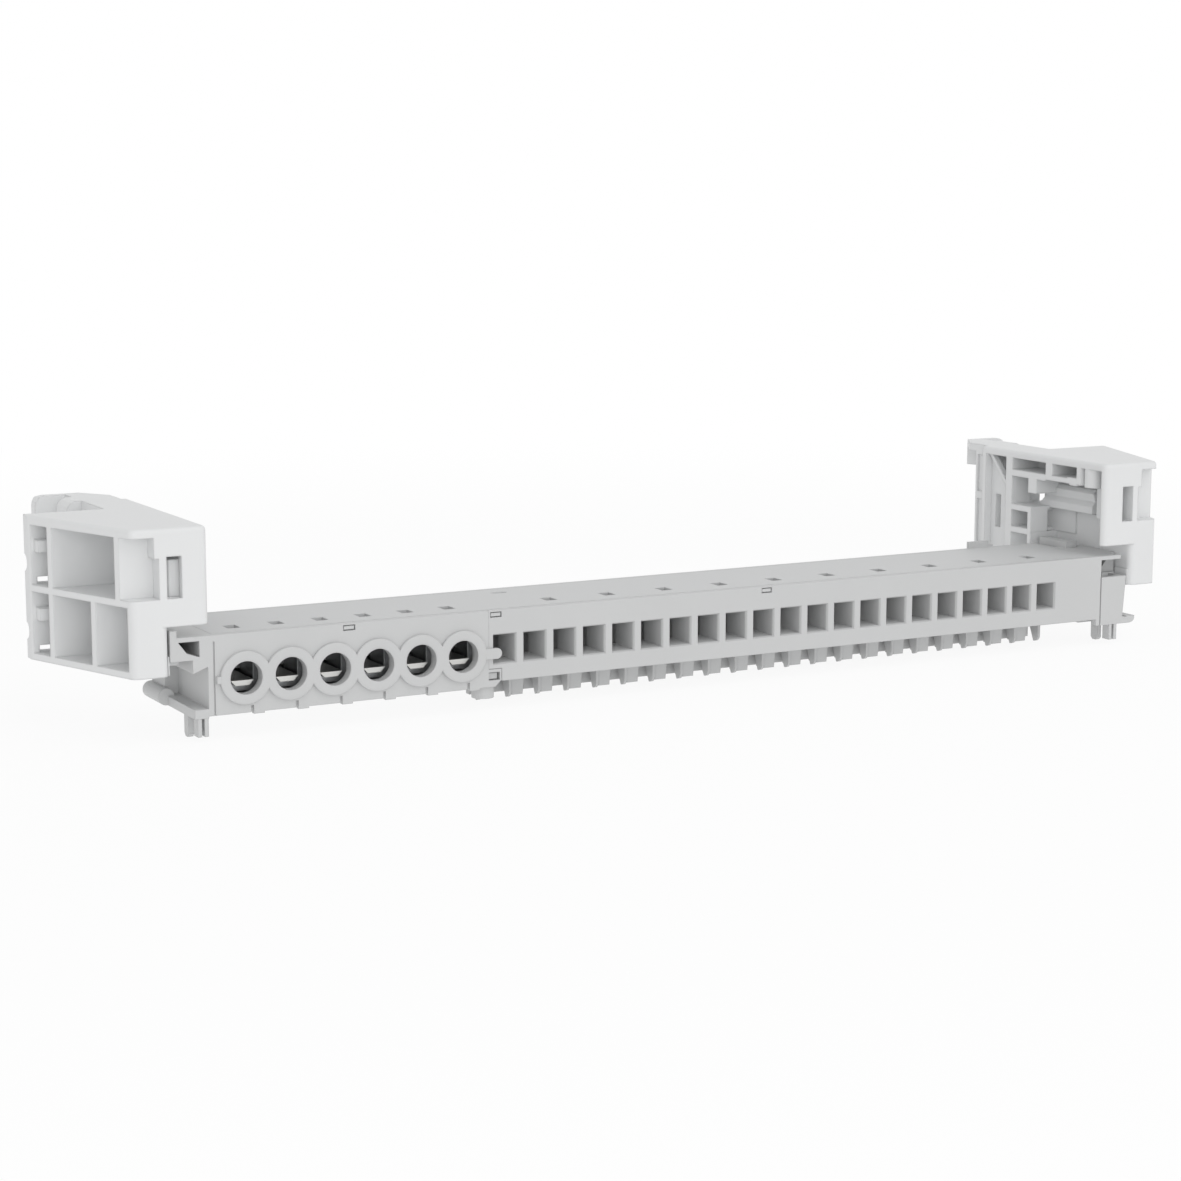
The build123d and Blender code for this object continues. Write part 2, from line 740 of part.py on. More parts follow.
# Right holder: flared wing, stepped inner side, neck and hooked head; the left one is its mirror image
inner = half - holder_overlap
outer = inner + holder_front_width
face_y = -holder_reach
wing_x = outer + holder_wing_length * sin(radians(holder_flare))
far = wing_x + skin
step_x = inner + holder_step_width
deep = inner + web_offset
neck_x = inner + neck_width
roof_z = bar_top + holder_rise
roof_base = roof_z - roof_thickness
shelf_z = bar_top + shelf_rise
step_z = bar_top + holder_step_rise
foot_z = bar_top - holder_foot_drop
hidden_z = bar_top - hidden_drop
cavity_back = face_y + skin + cavity_depth
cavity_top = shelf_z + cavity_height
column_y = (wing_y - column_inset - column_depth, wing_y - column_inset)
with BuildPart() as holder_right:
    with BuildSketch(level(step_z)) as plan:
        with BuildLine():
            Polyline(
                (inner, face_y),
                (outer, face_y),
                (wing_x, wing_y),
                (wing_x, wing_back),
                (inner, wing_back),
                close=True,
            )
        make_face()
        fillet(plan.vertices().group_by(Axis.Y)[0], corner_round)
        with Locations((inner + neck_width / 2, (wing_back + neck_back) / 2)):
            Rectangle(neck_width, neck_length + 2 * skin)
        with Locations((inner + (head_inset + head_width) / 2, (neck_back + head_back) / 2)):
            RectangleRounded(head_width - head_inset, head_length, head_round)
        with Locations((inner + (neck_width + neck_lip) / 2, neck_back + head_round / 2)):
            Rectangle(neck_width + neck_lip, head_round)
        with Locations(
            (
                inner + (neck_width + neck_lip + head_width - finger_width) / 2,
                neck_back + finger_gap / 2,
            )
        ):
            Rectangle(head_width - finger_width - neck_width - neck_lip, finger_gap, mode=Mode.SUBTRACT)
        with Locations((inner + head_width, neck_back)):
            Rectangle(finger_width * 4, finger_setback * 2, mode=Mode.SUBTRACT)
    extrude(to_extrude=plan.sketch, amount=roof_z - step_z)
    roof_edges = holder_right.faces().sort_by(Axis.Z)[-1].edges()
    fillet(roof_edges.filter_by(lambda edge: edge.center().Y < front_y + wing_y), edge_round)
    # lower block outside the bar's end hook, and the rear part that reaches down behind the bar
    with BuildSketch(level(foot_z)) as lower:
        with BuildLine():
            Polyline(
                (step_x, face_y),
                (outer, face_y),
                (wing_x, wing_y),
                (wing_x, wing_back),
                (step_x, wing_back),
                close=True,
            )
        make_face()
        fillet(lower.vertices().group_by(Axis.Y)[0], corner_round)
    extrude(to_extrude=lower.sketch, amount=step_z - foot_z)
    block((inner, neck_x), (bar_depth + rear_clearance, neck_back), (hidden_z, step_z))
    with BuildSketch(level(hidden_z)) as rear:
        with Locations((inner + (head_inset + head_width) / 2, (neck_back + head_back) / 2)):
            RectangleRounded(head_width - head_inset, head_length, head_round)
        with Locations((inner + neck_width / 2, neck_back + head_round / 2)):
            Rectangle(neck_width, head_round)
        with Locations((inner + head_width, neck_back)):
            Rectangle(2 * (head_width - neck_width), finger_gap * 2, mode=Mode.SUBTRACT)
    extrude(to_extrude=rear.sketch, amount=step_z - hidden_z)
    # outer side: open front recess, two rows of deep pockets and the rear column
    block((deep + skin, far), (face_y, face_y + recess_depth), (shelf_z, roof_base), mode=Mode.SUBTRACT)
    block((deep, far), (face_y, face_y + recess_depth), (shelf_z, shelf_z + cavity_height), mode=Mode.SUBTRACT)
    upper_z = (shelf_z, roof_base)
    lower_z = (foot_z + rib, shelf_z - rib)
    split_y = face_y + lower_split
    block((deep + skin, far), (face_y + recess_depth + rib, column_y[0] - rib), upper_z, mode=Mode.SUBTRACT)
    block((step_x + skin, far), (face_y + skin, split_y - rib / 2), lower_z, mode=Mode.SUBTRACT)
    block((step_x + skin, far), (split_y + rib / 2, column_y[0] - rib), lower_z, mode=Mode.SUBTRACT)
    for z in (upper_z, lower_z):
        block((wing_x - column_width, far), column_y, z, mode=Mode.SUBTRACT)
        block(
            (wing_x - column_width + skin, wing_x - skin),
            (column_y[1] - skin, wing_back + skin),
            (z[0], z[0] + skin),
            mode=Mode.SUBTRACT,
        )
        peg(
            across(wing_x - column_width + skin),
            (wing_back + notch_radius / 4, z[0] + 2.6 * notch_radius),
            notch_radius,
            column_width,
            mode=Mode.SUBTRACT,
        )
        drum = (wing_x - column_width + drum_radius, (column_y[0] + column_y[1]) / 2)
        peg(level(z[0]), drum, stem_radius, z[1] - z[0])
        peg(level(z[1] - drum_radius - drum_height), drum, drum_radius, drum_height)
    # inner side: latch cavity open downwards, pockets between ribs, window in the front
    block((inner, deep), (face_y + skin, cavity_back), (shelf_z, cavity_top), mode=Mode.SUBTRACT)
    block((inner, step_x), (face_y + skin, bracket_front), (step_z, shelf_z), mode=Mode.SUBTRACT)
    block((deep - window_width, deep), (face_y, face_y + skin), (shelf_z, shelf_z + window_height), mode=Mode.SUBTRACT)
    inside = (inner, deep - skin)
    rib_top = cavity_top + rib / 2
    nook_back = face_y + skin + 2 * half_round_radius + edge_round
    block(inside, (face_y + skin, nook_back), (cavity_top, roof_base), mode=Mode.SUBTRACT)
    block(inside, (nook_back + rib, cavity_back - skin - rib), (rib_top, roof_base), mode=Mode.SUBTRACT)
    block(inside, (cavity_back - skin, post_front), (rib_top, roof_base), mode=Mode.SUBTRACT)
    bracket_back = bracket_front + bracket_length
    block(
        inside,
        (cavity_back, cavity_back + hanger_depth),
        (cavity_top - hanger_drop, cavity_top - rib / 4),
        mode=Mode.SUBTRACT,
    )
    block(
        inside,
        (cavity_back, bracket_back),
        (shelf_z + rib / 2, cavity_top - hanger_drop),
        mode=Mode.SUBTRACT,
    )
    block(inside, (bracket_back, post_front), (shelf_z + rib / 2, cavity_top - rib / 4), mode=Mode.SUBTRACT)
    lower_rib_z = step_z - rib / 2
    block(inside, (bracket_back, post_front), (lower_rib_z + rib, shelf_z - rib / 2), mode=Mode.SUBTRACT)
    block(inside, (bracket_back, post_front), (hidden_z, lower_rib_z), mode=Mode.SUBTRACT)
    # hole that lets the light through the neck's web
    block(
        (deep - 2 * skin, neck_x),
        (post_front - skin, post_front - skin + sight_hole),
        (shelf_z + rib / 2, shelf_z + rib / 2 + sight_hole),
        mode=Mode.SUBTRACT,
    )
    # neck: recess with a strut on the inner side, slot through it, pocket from the outside
    recess_y = (post_front + post_depth, neck_back - skin)
    recess_x = inner + neck_width / 2
    block((inner, recess_x), recess_y, (hidden_z, roof_base), mode=Mode.SUBTRACT)
    block((recess_x + skin, neck_x), recess_y, (hidden_z + rib, roof_base), mode=Mode.SUBTRACT)
    block(
        (recess_x, recess_x + skin),
        (recess_y[0] + skin, recess_y[0] + 2 * skin),
        (step_z, shelf_z + skin),
        mode=Mode.SUBTRACT,
    )
    prism(
        across(inner + edge_round),
        [
            (recess_y[1], roof_base),
            (recess_y[1] - rib, roof_base),
            (recess_y[0], roof_base - strut_drop),
            (recess_y[0], roof_base - strut_drop - rib),
        ],
        skin,
    )
    # head: shallow panels on the inner side and a hollow from below
    for z in ((hidden_z + rib, shelf_z - rib / 2), (shelf_z + rib / 2, roof_base - rib)):
        block((inner, inner + edge_round), (neck_back, neck_back + panel_depth - rib), z, mode=Mode.SUBTRACT)
    block(
        (inner + head_inset + 2 * skin, inner + head_width - skin),
        (neck_back + finger_gap + skin, head_back - skin),
        (hidden_z, roof_base),
        mode=Mode.SUBTRACT,
    )
    # half-round post over the cavity, tongue beside it and the latch arm behind the window
    peg(
        level(cavity_top - rib / 4),
        (inner + half_round_radius, face_y + skin + half_round_radius),
        half_round_radius,
        roof_base - cavity_top + rib / 4,
    )
    prism(
        across(inner),
        [
            (nook_back + rib, rib_top),
            (nook_back + rib, cavity_top - skin),
            (nook_back + 2 * rib, cavity_top - skin),
            (nook_back + 3 * rib, cavity_top),
            (nook_back + 3 * rib, rib_top),
        ],
        half_round_radius,
    )
    arm_x = deep - arm_gap - arm_thickness
    arm_z = shelf_z + arm_gap
    prism(
        facing(cavity_back),
        [
            (arm_x, arm_z),
            (arm_x + arm_thickness, arm_z),
            (arm_x + arm_thickness, arm_z + arm_height),
            (arm_x, arm_z + arm_height),
            (arm_x + arm_groove, arm_z + arm_height * 0.6),
            (arm_x, arm_z + arm_height * 0.4),
        ],
        arm_length,
    )
    block(
        (arm_x + arm_thickness, deep),
        (cavity_back - arm_root, cavity_back),
        (arm_z, arm_z + arm_height),
    )
    # ledge under the bar's end hook, and the catch beside the cheek
    block(
        (half + hook_reach / 2 + ledge_gap, step_x),
        (cheek_depth + clamp_gap, hook_front_depth),
        (hook_step - ledge_thickness, hook_step),
    )
    block(
        (step_x - edge_round, step_x),
        (face_y + edge_round, cheek_depth),
        (foot_z, hook_step),
    )
holder_right.part.label = "holder_right"
export_step(holder_right.part, "parts/holder_right.step")


with BuildPart() as holder_left:
    mirror(objects=holder_right.part, about=Plane.YZ)
holder_left.part.label = "holder_left"
export_step(holder_left.part, "parts/holder_left.step")
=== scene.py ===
import json
import math

import bmesh
import bpy
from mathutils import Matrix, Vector


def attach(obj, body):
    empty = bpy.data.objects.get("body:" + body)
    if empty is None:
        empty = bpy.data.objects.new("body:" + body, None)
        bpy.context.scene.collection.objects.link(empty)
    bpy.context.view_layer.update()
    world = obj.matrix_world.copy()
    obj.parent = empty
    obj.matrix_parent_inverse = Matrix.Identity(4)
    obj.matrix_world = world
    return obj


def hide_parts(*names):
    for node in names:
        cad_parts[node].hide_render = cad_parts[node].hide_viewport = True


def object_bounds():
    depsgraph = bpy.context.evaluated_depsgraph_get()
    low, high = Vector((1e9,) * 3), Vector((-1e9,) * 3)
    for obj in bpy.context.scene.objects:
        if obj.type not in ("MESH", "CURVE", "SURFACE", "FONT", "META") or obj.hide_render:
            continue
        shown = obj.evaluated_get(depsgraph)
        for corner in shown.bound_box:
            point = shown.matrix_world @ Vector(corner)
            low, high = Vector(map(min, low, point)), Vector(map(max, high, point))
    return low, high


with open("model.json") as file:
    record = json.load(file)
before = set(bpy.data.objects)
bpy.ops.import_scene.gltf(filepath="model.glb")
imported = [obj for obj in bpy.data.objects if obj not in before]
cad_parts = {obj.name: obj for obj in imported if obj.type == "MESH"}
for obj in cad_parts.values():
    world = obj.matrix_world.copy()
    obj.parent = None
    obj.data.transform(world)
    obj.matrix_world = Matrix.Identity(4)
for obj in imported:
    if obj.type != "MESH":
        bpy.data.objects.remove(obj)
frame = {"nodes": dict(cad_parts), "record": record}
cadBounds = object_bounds()
mm = 0.001
print("frame loaded:", len(frame["nodes"]), "nodes")


class Wire:
    # one socket of a node tree, so that shader maths reads as Python

    def __init__(self, tree, socket=None):
        self.tree = tree
        self.socket = socket

    def node(self, kind, settings=None, values=None, output=0):
        made = self.tree.nodes.new(kind)
        for key, value in (settings or {}).items():
            setattr(made, key, value)
        for key, value in (values or {}).items():
            target = made.inputs[key]
            if isinstance(value, Wire):
                self.tree.links.new(value.socket, target)
            else:
                target.default_value = value
        return Wire(self.tree, made.outputs[output])

    def into(self, target):
        self.tree.links.new(self.socket, target)

    def maths(self, operation, first, second):
        return self.node("ShaderNodeMath", {"operation": operation}, {0: first, 1: second})

    def __add__(self, other):
        return self.maths("ADD", self, other)

    def __radd__(self, other):
        return self.maths("ADD", other, self)

    def __sub__(self, other):
        return self.maths("SUBTRACT", self, other)

    def __rsub__(self, other):
        return self.maths("SUBTRACT", other, self)

    def __mul__(self, other):
        return self.maths("MULTIPLY", self, other)

    def __rmul__(self, other):
        return self.maths("MULTIPLY", other, self)


def newMaterial(name):
    material = bpy.data.materials.new(name)
    material.use_nodes = True
    tree = material.node_tree
    return material, tree.nodes["Principled BSDF"], Wire(tree)


housingLook = {
    "colour": (0.560, 0.565, 0.566),
    "cloudy": 0.030,  # share by which the colour drifts darker and lighter
    "cloudScale": 55.0,
    "cloudDetail": 4.0,
    "roughness": 0.46,
    "roughnessSpread": 0.10,
    "shine": 0.42,
    "grainScale": 2600.0,
    "grainDetail": 2.0,
    "grainStrength": 0.35,
    "grainDepth": 0.02 * mm,
    "edgeRadius": 0.28 * mm,
    "edgeSamples": 6,
}
coverLook = dict(housingLook, colour=(0.580, 0.586, 0.588), roughness=0.50, grainScale=2200.0)
holderLook = dict(
    housingLook,
    colour=(0.735, 0.742, 0.745),
    roughness=0.50,
    grainScale=1900.0,
    grainDepth=0.03 * mm,
    edgeRadius=0.55 * mm,
)
pusherLook = dict(housingLook, edgeRadius=0.2 * mm)


def shaded(colour, share):
    return [min(1.0, part * share) for part in colour] + [1.0]


def noise(bench, place, scale, detail):
    return bench.node(
        "ShaderNodeTexNoise", None, {"Vector": place, "Scale": scale, "Detail": detail}
    )


def blend(bench, share, first, second):
    values = {0: share, 6: first, 7: second}
    return bench.node("ShaderNodeMix", {"data_type": "RGBA"}, values, output=2)


def relief(bench, height, strength, depth, look):
    # bump over edges that are softened by the look's radius
    soft = bench.node(
        "ShaderNodeBevel", {"samples": look["edgeSamples"]}, {"Radius": look["edgeRadius"]}
    )
    values = {"Strength": strength, "Distance": depth, "Height": height, "Normal": soft}
    return bench.node("ShaderNodeBump", None, values)


def mouldedPlastic(name, look):
    # matt injection-moulded plastic: soft clouding, fine spark-eroded grain and rounded edges
    material, shader, bench = newMaterial(name)
    place = bench.node("ShaderNodeTexCoord", output="Object")
    cloud = noise(bench, place, look["cloudScale"], look["cloudDetail"])
    dark = shaded(look["colour"], 1 - look["cloudy"])
    light = shaded(look["colour"], 1 + look["cloudy"])
    blend(bench, cloud, dark, light).into(shader.inputs["Base Color"])
    grain = noise(bench, place, look["grainScale"], look["grainDetail"])
    rough = look["roughness"] + (cloud - 0.5) * look["roughnessSpread"]
    rough.into(shader.inputs["Roughness"])
    bump = relief(bench, grain, look["grainStrength"], look["grainDepth"], look)
    bump.into(shader.inputs["Normal"])
    shader.inputs["Specular IOR Level"].default_value = look["shine"]
    return material


busbarLook = {
    "colour": (0.66, 0.66, 0.64),
    "dull": 0.86,  # shares of the colour in the darkest and the lightest streaks
    "bright": 1.1,
    "roughness": 0.34,
    "roughnessSpread": 0.18,
    "streak": (40.0, 900.0, 900.0),  # scale of the streaks along x, y and z
    "streakDetail": 3.0,
    "streakStrength": 0.3,
    "streakDepth": 0.02 * mm,
    "edgeRadius": 0.15 * mm,
    "edgeSamples": 4,
}
clampLook = dict(
    busbarLook,
    colour=(0.46, 0.47, 0.48),
    roughness=0.38,
    streak=(900.0, 60.0, 900.0),
    edgeRadius=0.2 * mm,
)
screwLook = dict(
    busbarLook,
    colour=(0.50, 0.51, 0.52),
    roughness=0.30,
    streak=(700.0, 700.0, 3000.0),
    edgeRadius=0.12 * mm,
)
springLook = dict(
    busbarLook,
    colour=(0.47, 0.47, 0.48),
    roughness=0.26,
    streak=(1500.0, 50.0, 50.0),
    edgeRadius=0.06 * mm,
)


def drawnMetal(name, look):
    # plated metal with fine streaks along the way it was drawn or turned
    material, shader, bench = newMaterial(name)
    place = bench.node("ShaderNodeTexCoord", output="Object")
    values = {"Vector": place, "Scale": look["streak"]}
    stretched = bench.node("ShaderNodeMapping", None, values)
    streak = noise(bench, stretched, 1.0, look["streakDetail"])
    dull = shaded(look["colour"], look["dull"])
    bright = shaded(look["colour"], look["bright"])
    blend(bench, streak, dull, bright).into(shader.inputs["Base Color"])
    rough = look["roughness"] + (streak - 0.5) * look["roughnessSpread"]
    rough.into(shader.inputs["Roughness"])
    bump = relief(bench, streak, look["streakStrength"], look["streakDepth"], look)
    bump.into(shader.inputs["Normal"])
    shader.inputs["Metallic"].default_value = 1.0
    return material


finishes = {
    "housing_plastic": mouldedPlastic("housingPlastic", housingLook),
    "cover_plastic": mouldedPlastic("coverPlastic", coverLook),
    "holder_plastic": mouldedPlastic("holderPlastic", holderLook),
    "pusher_plastic": mouldedPlastic("pusherPlastic", pusherLook),
    "tinned_copper": drawnMetal("tinnedCopper", busbarLook),
    "clamp_steel": drawnMetal("clampSteel", clampLook),
    "screw_steel": drawnMetal("screwSteel", screwLook),
    "spring_steel": drawnMetal("springSteel", springLook),
}
for entry in frame["record"]["subparts"]:
    for place in frame["nodes"][entry["node"]].material_slots:
        place.material = finishes[entry["material_slot"]]
print("finishes given to the CAD nodes")


# places of the cable bores, from the record's mounts
bores = [mount["pos_m"] for mount in frame["record"]["mounts"] if mount["kind"] == "bore"]


def newTree(name, sizes):
    # geometry nodes group with one number input for each size, and an input for the finish
    tree = bpy.data.node_groups.new(name, "GeometryNodeTree")
    tree.is_modifier = True
    face = tree.interface
    face.new_socket("Geometry", in_out="INPUT", socket_type="NodeSocketGeometry")
    face.new_socket("Geometry", in_out="OUTPUT", socket_type="NodeSocketGeometry")
    for size, value in sizes.items():
        socket = face.new_socket(size, in_out="INPUT", socket_type="NodeSocketFloat")
        socket.default_value = value
    face.new_socket("Finish", in_out="INPUT", socket_type="NodeSocketMaterial")
    return tree


def settle(holder, name):
    # plain mesh from a piece whose modifiers have done their work
    bpy.context.view_layer.update()
    ready = holder.evaluated_get(bpy.context.evaluated_depsgraph_get())
    mesh = bpy.data.meshes.new_from_object(ready)
    bpy.data.objects.remove(holder)
    piece = bpy.data.objects.new(name, mesh)
    bpy.context.scene.collection.objects.link(piece)
    return piece


def grown(name, spots, tree, slotName):
    # plain mesh that a node tree makes from points, in the finish of its slot
    mesh = bpy.data.meshes.new(name + "_spots")
    mesh.from_pydata(spots, [], [])
    holder = bpy.data.objects.new(name + "_spots", mesh)
    bpy.context.scene.collection.objects.link(holder)
    growth = holder.modifiers.new("growth", "NODES")
    growth.node_group = tree
    sockets = {item.name: item.identifier for item in tree.interface.items_tree}
    growth[sockets["Finish"]] = finishes[slotName]
    return settle(holder, name)


threadLook = {
    "radius": 1.70 * mm,
    "wire": 0.075 * mm,
    "wireSides": 6,
    "turns": 5,
    "turnSteps": 16,
    "height": 3.5 * mm,
    "lift": 0.2 * mm,  # lower end of the thread above that of the screw
    "reach": 3 * mm,  # a screw lies within this distance of its bore's middle
}


def threadTree(look):
    # one helix swept by a small round wire, put on every point
    sizes = {"Radius": look["radius"], "Wire": look["wire"], "Height": look["height"]}
    tree = newTree("screwThread", sizes)
    nodes, links = tree.nodes, tree.links
    given = nodes.new("NodeGroupInput")
    result = nodes.new("NodeGroupOutput")
    helix = nodes.new("GeometryNodeCurveSpiral")
    helix.inputs["Resolution"].default_value = look["turnSteps"]
    helix.inputs["Rotations"].default_value = look["turns"]
    links.new(given.outputs["Radius"], helix.inputs["Start Radius"])
    links.new(given.outputs["Radius"], helix.inputs["End Radius"])
    links.new(given.outputs["Height"], helix.inputs["Height"])
    wire = nodes.new("GeometryNodeCurvePrimitiveCircle")
    wire.inputs["Resolution"].default_value = look["wireSides"]
    links.new(given.outputs["Wire"], wire.inputs["Radius"])
    sweep = nodes.new("GeometryNodeCurveToMesh")
    sweep.inputs["Fill Caps"].default_value = True
    links.new(helix.outputs["Curve"], sweep.inputs["Curve"])
    links.new(wire.outputs["Curve"], sweep.inputs["Profile Curve"])
    spread = nodes.new("GeometryNodeInstanceOnPoints")
    links.new(given.outputs["Geometry"], spread.inputs["Points"])
    links.new(sweep.outputs["Mesh"], spread.inputs["Instance"])
    real = nodes.new("GeometryNodeRealizeInstances")
    links.new(spread.outputs["Instances"], real.inputs["Geometry"])
    finish = nodes.new("GeometryNodeSetMaterial")
    links.new(real.outputs["Geometry"], finish.inputs["Geometry"])
    links.new(given.outputs["Finish"], finish.inputs["Material"])
    links.new(finish.outputs["Geometry"], result.inputs[0])
    return tree


def screwFeet(look):
    # a point just above the lower end of every clamp screw
    mesh = frame["nodes"]["clamp_screws"].data
    feet = []
    for x, _, _ in bores:
        own = [v.co for v in mesh.vertices if abs(v.co.x - x) < look["reach"]]
        middle = (min(p.y for p in own) + max(p.y for p in own)) / 2
        feet.append((x, middle, min(p.z for p in own) + look["lift"]))
    return feet


screwSpots = screwFeet(threadLook)
screwThreads = grown("screwThreads", screwSpots, threadTree(threadLook), "screw_steel")
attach(screwThreads, "block")
print("threads wound on", len(screwSpots), "clamp screws")


barFront = -33.465  # the bar's front face in the frame, in millimetres
weldGap = 0.002 * mm  # corners of a carved piece that are nearer than this become one

# The forms below are lists of prisms in millimetres, with y from the bar's front face. A prism
# has the axis that it runs along, its span there, and its outline on the other two axes.


def slab(x, y, z):
    # block between two values on each axis
    return "z", z, [(x[0], y[0]), (x[1], y[0]), (x[1], y[1]), (x[0], y[1])]


def rod(axis, span, centre, radius, sides=24):
    # round bar, or the round hole that it cuts
    turns = [2 * math.pi * i / sides for i in range(sides)]
    across, up = centre
    return axis, span, [(across + radius * math.cos(t), up + radius * math.sin(t)) for t in turns]


def roundedEdge(edge):
    # what comes off the holder's roof along one edge, leaving three short facets
    return [
        (edge + 1, 43.6), (edge + 1, 46.5), (edge - 2.2, 46.5), (edge - 2.2, 45.9),
        (edge - 1, 45.4), (edge - 0.2, 44.4), (edge, 43.6),
    ]


# the right holder beyond its CAD solid; the left one is its mirror image
holderForm = {
    "carve": [
        # behind and inside the arm, below the head and round the head's outline
        ("z", (-1, 43.95), [
            (116, 55), (119.7, 55), (124, 60.8), (128.5, 60.8), (128.5, 70), (116, 70),
        ]),
        slab((128.5, 142), (49, 70), (-1, 39)),
        ("z", (-1, 47), [
            (128.5, 49), (128.5, 50.9), (132, 50.9), (132, 58.4), (128.4, 58.4), (128.4, 63.3),
            (135.5, 63.3), (135.5, 66.2), (134, 67.75), (134, 70), (142, 70), (142, 49),
        ]),
        ("z", (-1, 47), [(116, 58), (119.7, 58), (126.1, 67.73), (126.1, 70), (116, 70)]),
        slab((116, 119.7), (49.8, 59), (-1, 47)),
        # steps and recesses of the inner side
        slab((116, 126.4), (20, 28.5), (25.2, 31.85)),
        slab((123.4, 126.4), (28, 30.2), (25.2, 31.1)),
        slab((116, 128), (0.8, 22.9), (31.1, 39.6)),
        slab((120, 126.8), (5, 19.1), (17, 19)),
        slab((125, 126.5), (0, 5.1), (14, 19)),
    ],
    "build": [
        # hooked head and the arm that carries it
        slab((128.2, 132), (50.9, 58.4), (39, 44.6)),
        slab((126.8, 128.4), (58, 63.6), (39, 44.6)),
        ("z", (39, 44.6), [
            (126, 63.3), (135.5, 63.3), (135.5, 66.2), (134, 67.7), (126.1, 67.7), (125, 66),
        ]),
        ("z", (18.8, 44.6), [
            (119.7, 49), (119.7, 55), (124, 60.8), (128.5, 60.8), (128.5, 49),
        ]),
        # rear plate of the inner side, slanted at the top
        ("x", (119.9, 123.6), [(39.3, 18.8), (48.4, 18.8), (48.4, 43.8), (39.3, 36)]),
        # plate below the roof and the grooved bar on the inner side
        slab((117.9, 126.6), (7.8, 36.9), (39.6, 44.2)),
        ("y", (11.2, 33), [
            (123.9, 31.5), (126.7, 31.5), (126.7, 37.7), (125.2, 37.7), (124.2, 36.7),
            (124.9, 34.6), (123.9, 33.4),
        ]),
        # tongue in the window, with its root behind it
        slab((126.9, 128.6), (-0.8, 3.2), (31, 40)),
        ("z", (31, 38.9), [
            (122.2, 1.6), (125.7, 1.6), (126.6, 3.2), (128.2, 5), (128.2, 7.5), (122.2, 7.5),
        ]),
        # ledge over the end hook, and a block in each rear pocket of the wing
        slab((122.7, 127), (5.2, 19), (15.9, 17.5)),
        slab((139, 145.2), (28.4, 34.4), (38.2, 40.8)),
        slab((139, 145.2), (28.4, 34.4), (23.5, 26.2)),
    ],
    "pierce": [
        # three pockets in the plate below the roof
        slab((116, 126.4), (0.8, 8.8), (39, 43.95)),
        slab((116, 126.4), (10.5, 20.3), (40.9, 43.95)),
        slab((116, 126.4), (23, 36.8), (40.9, 43.95)),
        # round notch and a square hole by the grooved bar
        rod("x", (116, 126.3), (33.4, 34.6), 2.4),
        slab((124, 129), (33.8, 38.6), (32.4, 37)),
        # slot in the rear plate and two shallow recesses in the arm
        slab((119, 125), (44, 46.2), (24.6, 33.3)),
        slab((119, 120.2), (50.3, 54.2), (33.3, 43.1)),
        slab((119, 120.2), (50.3, 54.2), (19.3, 31.3)),
        # half-round notches in the wing's rear edge
        rod("x", (140, 148), (35.1, 35.5), 1.9),
        rod("x", (140, 148), (35.1, 20.7), 1.9),
        # outer and rear edges of the roof over the head
        ("y", (62.8, 68), roundedEdge(135.5)),
        ("y", (50.5, 58.6), roundedEdge(132)),
        ("x", (119, 136), roundedEdge(67.74)),
    ],
    "finish": [
        # round post and a small tooth below the roof
        rod("z", (39.2, 44.2), (120.3, 6.4), 2.4),
        ("x", (117.9, 120.9), [
            (10.4, 41.2), (10.4, 39.2), (13.1, 39.2), (14.1, 40.7), (14.1, 41.2),
        ]),
    ],
}


def spotOn(axis, level, a, b):
    return {"x": (level, a, b), "y": (a, level, b), "z": (a, b, level)}[axis]


def prismPiece(name, prisms, side):
    # closed prisms on one mesh; side is -1 for the mirrored left end
    form = bmesh.new()
    for axis, span, outline in prisms:
        rings = []
        for level in span:
            ring = []
            for x, y, z in (spotOn(axis, level, a, b) for a, b in outline):
                ring.append(form.verts.new((side * x * mm, (y + barFront) * mm, z * mm)))
            form.faces.new(ring)
            rings.append(ring)
        low, high = rings
        for i in range(len(low)):
            form.faces.new((low[i - 1], low[i], high[i], high[i - 1]))
    bmesh.ops.recalc_face_normals(form, faces=form.faces)
    mesh = bpy.data.meshes.new(name)
    form.to_mesh(mesh)
    form.free()
    piece = bpy.data.objects.new(name, mesh)
    bpy.context.scene.collection.objects.link(piece)
    return piece


def detailed(node, form, side, slotName):
    # copy of a node's CAD mesh, carved and built up to the form seen in the photograph
    work = bpy.data.objects.new(node + "_work", frame["nodes"][node].data.copy())
    bpy.context.scene.collection.objects.link(work)
    tools = []
    for step, prisms in form.items():
        tool = prismPiece(node + "_" + step, prisms, side)
        change = work.modifiers.new(step, "BOOLEAN")
        change.operation = "UNION" if step in ("build", "finish") else "DIFFERENCE"
        change.solver = "EXACT"
        change.use_self = True
        change.object = tool
        tools.append(tool)
    piece = settle(work, node + "_detailed")
    for tool in tools:
        bpy.data.objects.remove(tool)
    shape = bmesh.new()
    shape.from_mesh(piece.data)
    bmesh.ops.remove_doubles(shape, verts=shape.verts, dist=weldGap)
    bmesh.ops.dissolve_degenerate(shape, edges=shape.edges, dist=weldGap)
    bmesh.ops.recalc_face_normals(shape, faces=shape.faces)
    shape.to_mesh(piece.data)
    shape.free()
    for polygon in piece.data.polygons:
        polygon.use_smooth = False
        polygon.material_index = 0
    piece.data.materials.clear()
    piece.data.materials.append(finishes[slotName])
    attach(piece, "block")
    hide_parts(node)
    print(piece.name, "has", len(piece.data.polygons), "faces")


# end hooks as offsets outward from the bar's end, cut and built at both ends
barEnd = 118.2
hookOutline = [
    (0, 22.6), (8.2, 22.6), (8.2, 17.6), (3.3, 17.6), (3.3, 14.7), (-0.5, 16.2), (-0.5, 22.6),
]
hookWindow = [(1.8, 21.6), (6.4, 21.6), (4.5, 19.1), (1.8, 18.2)]


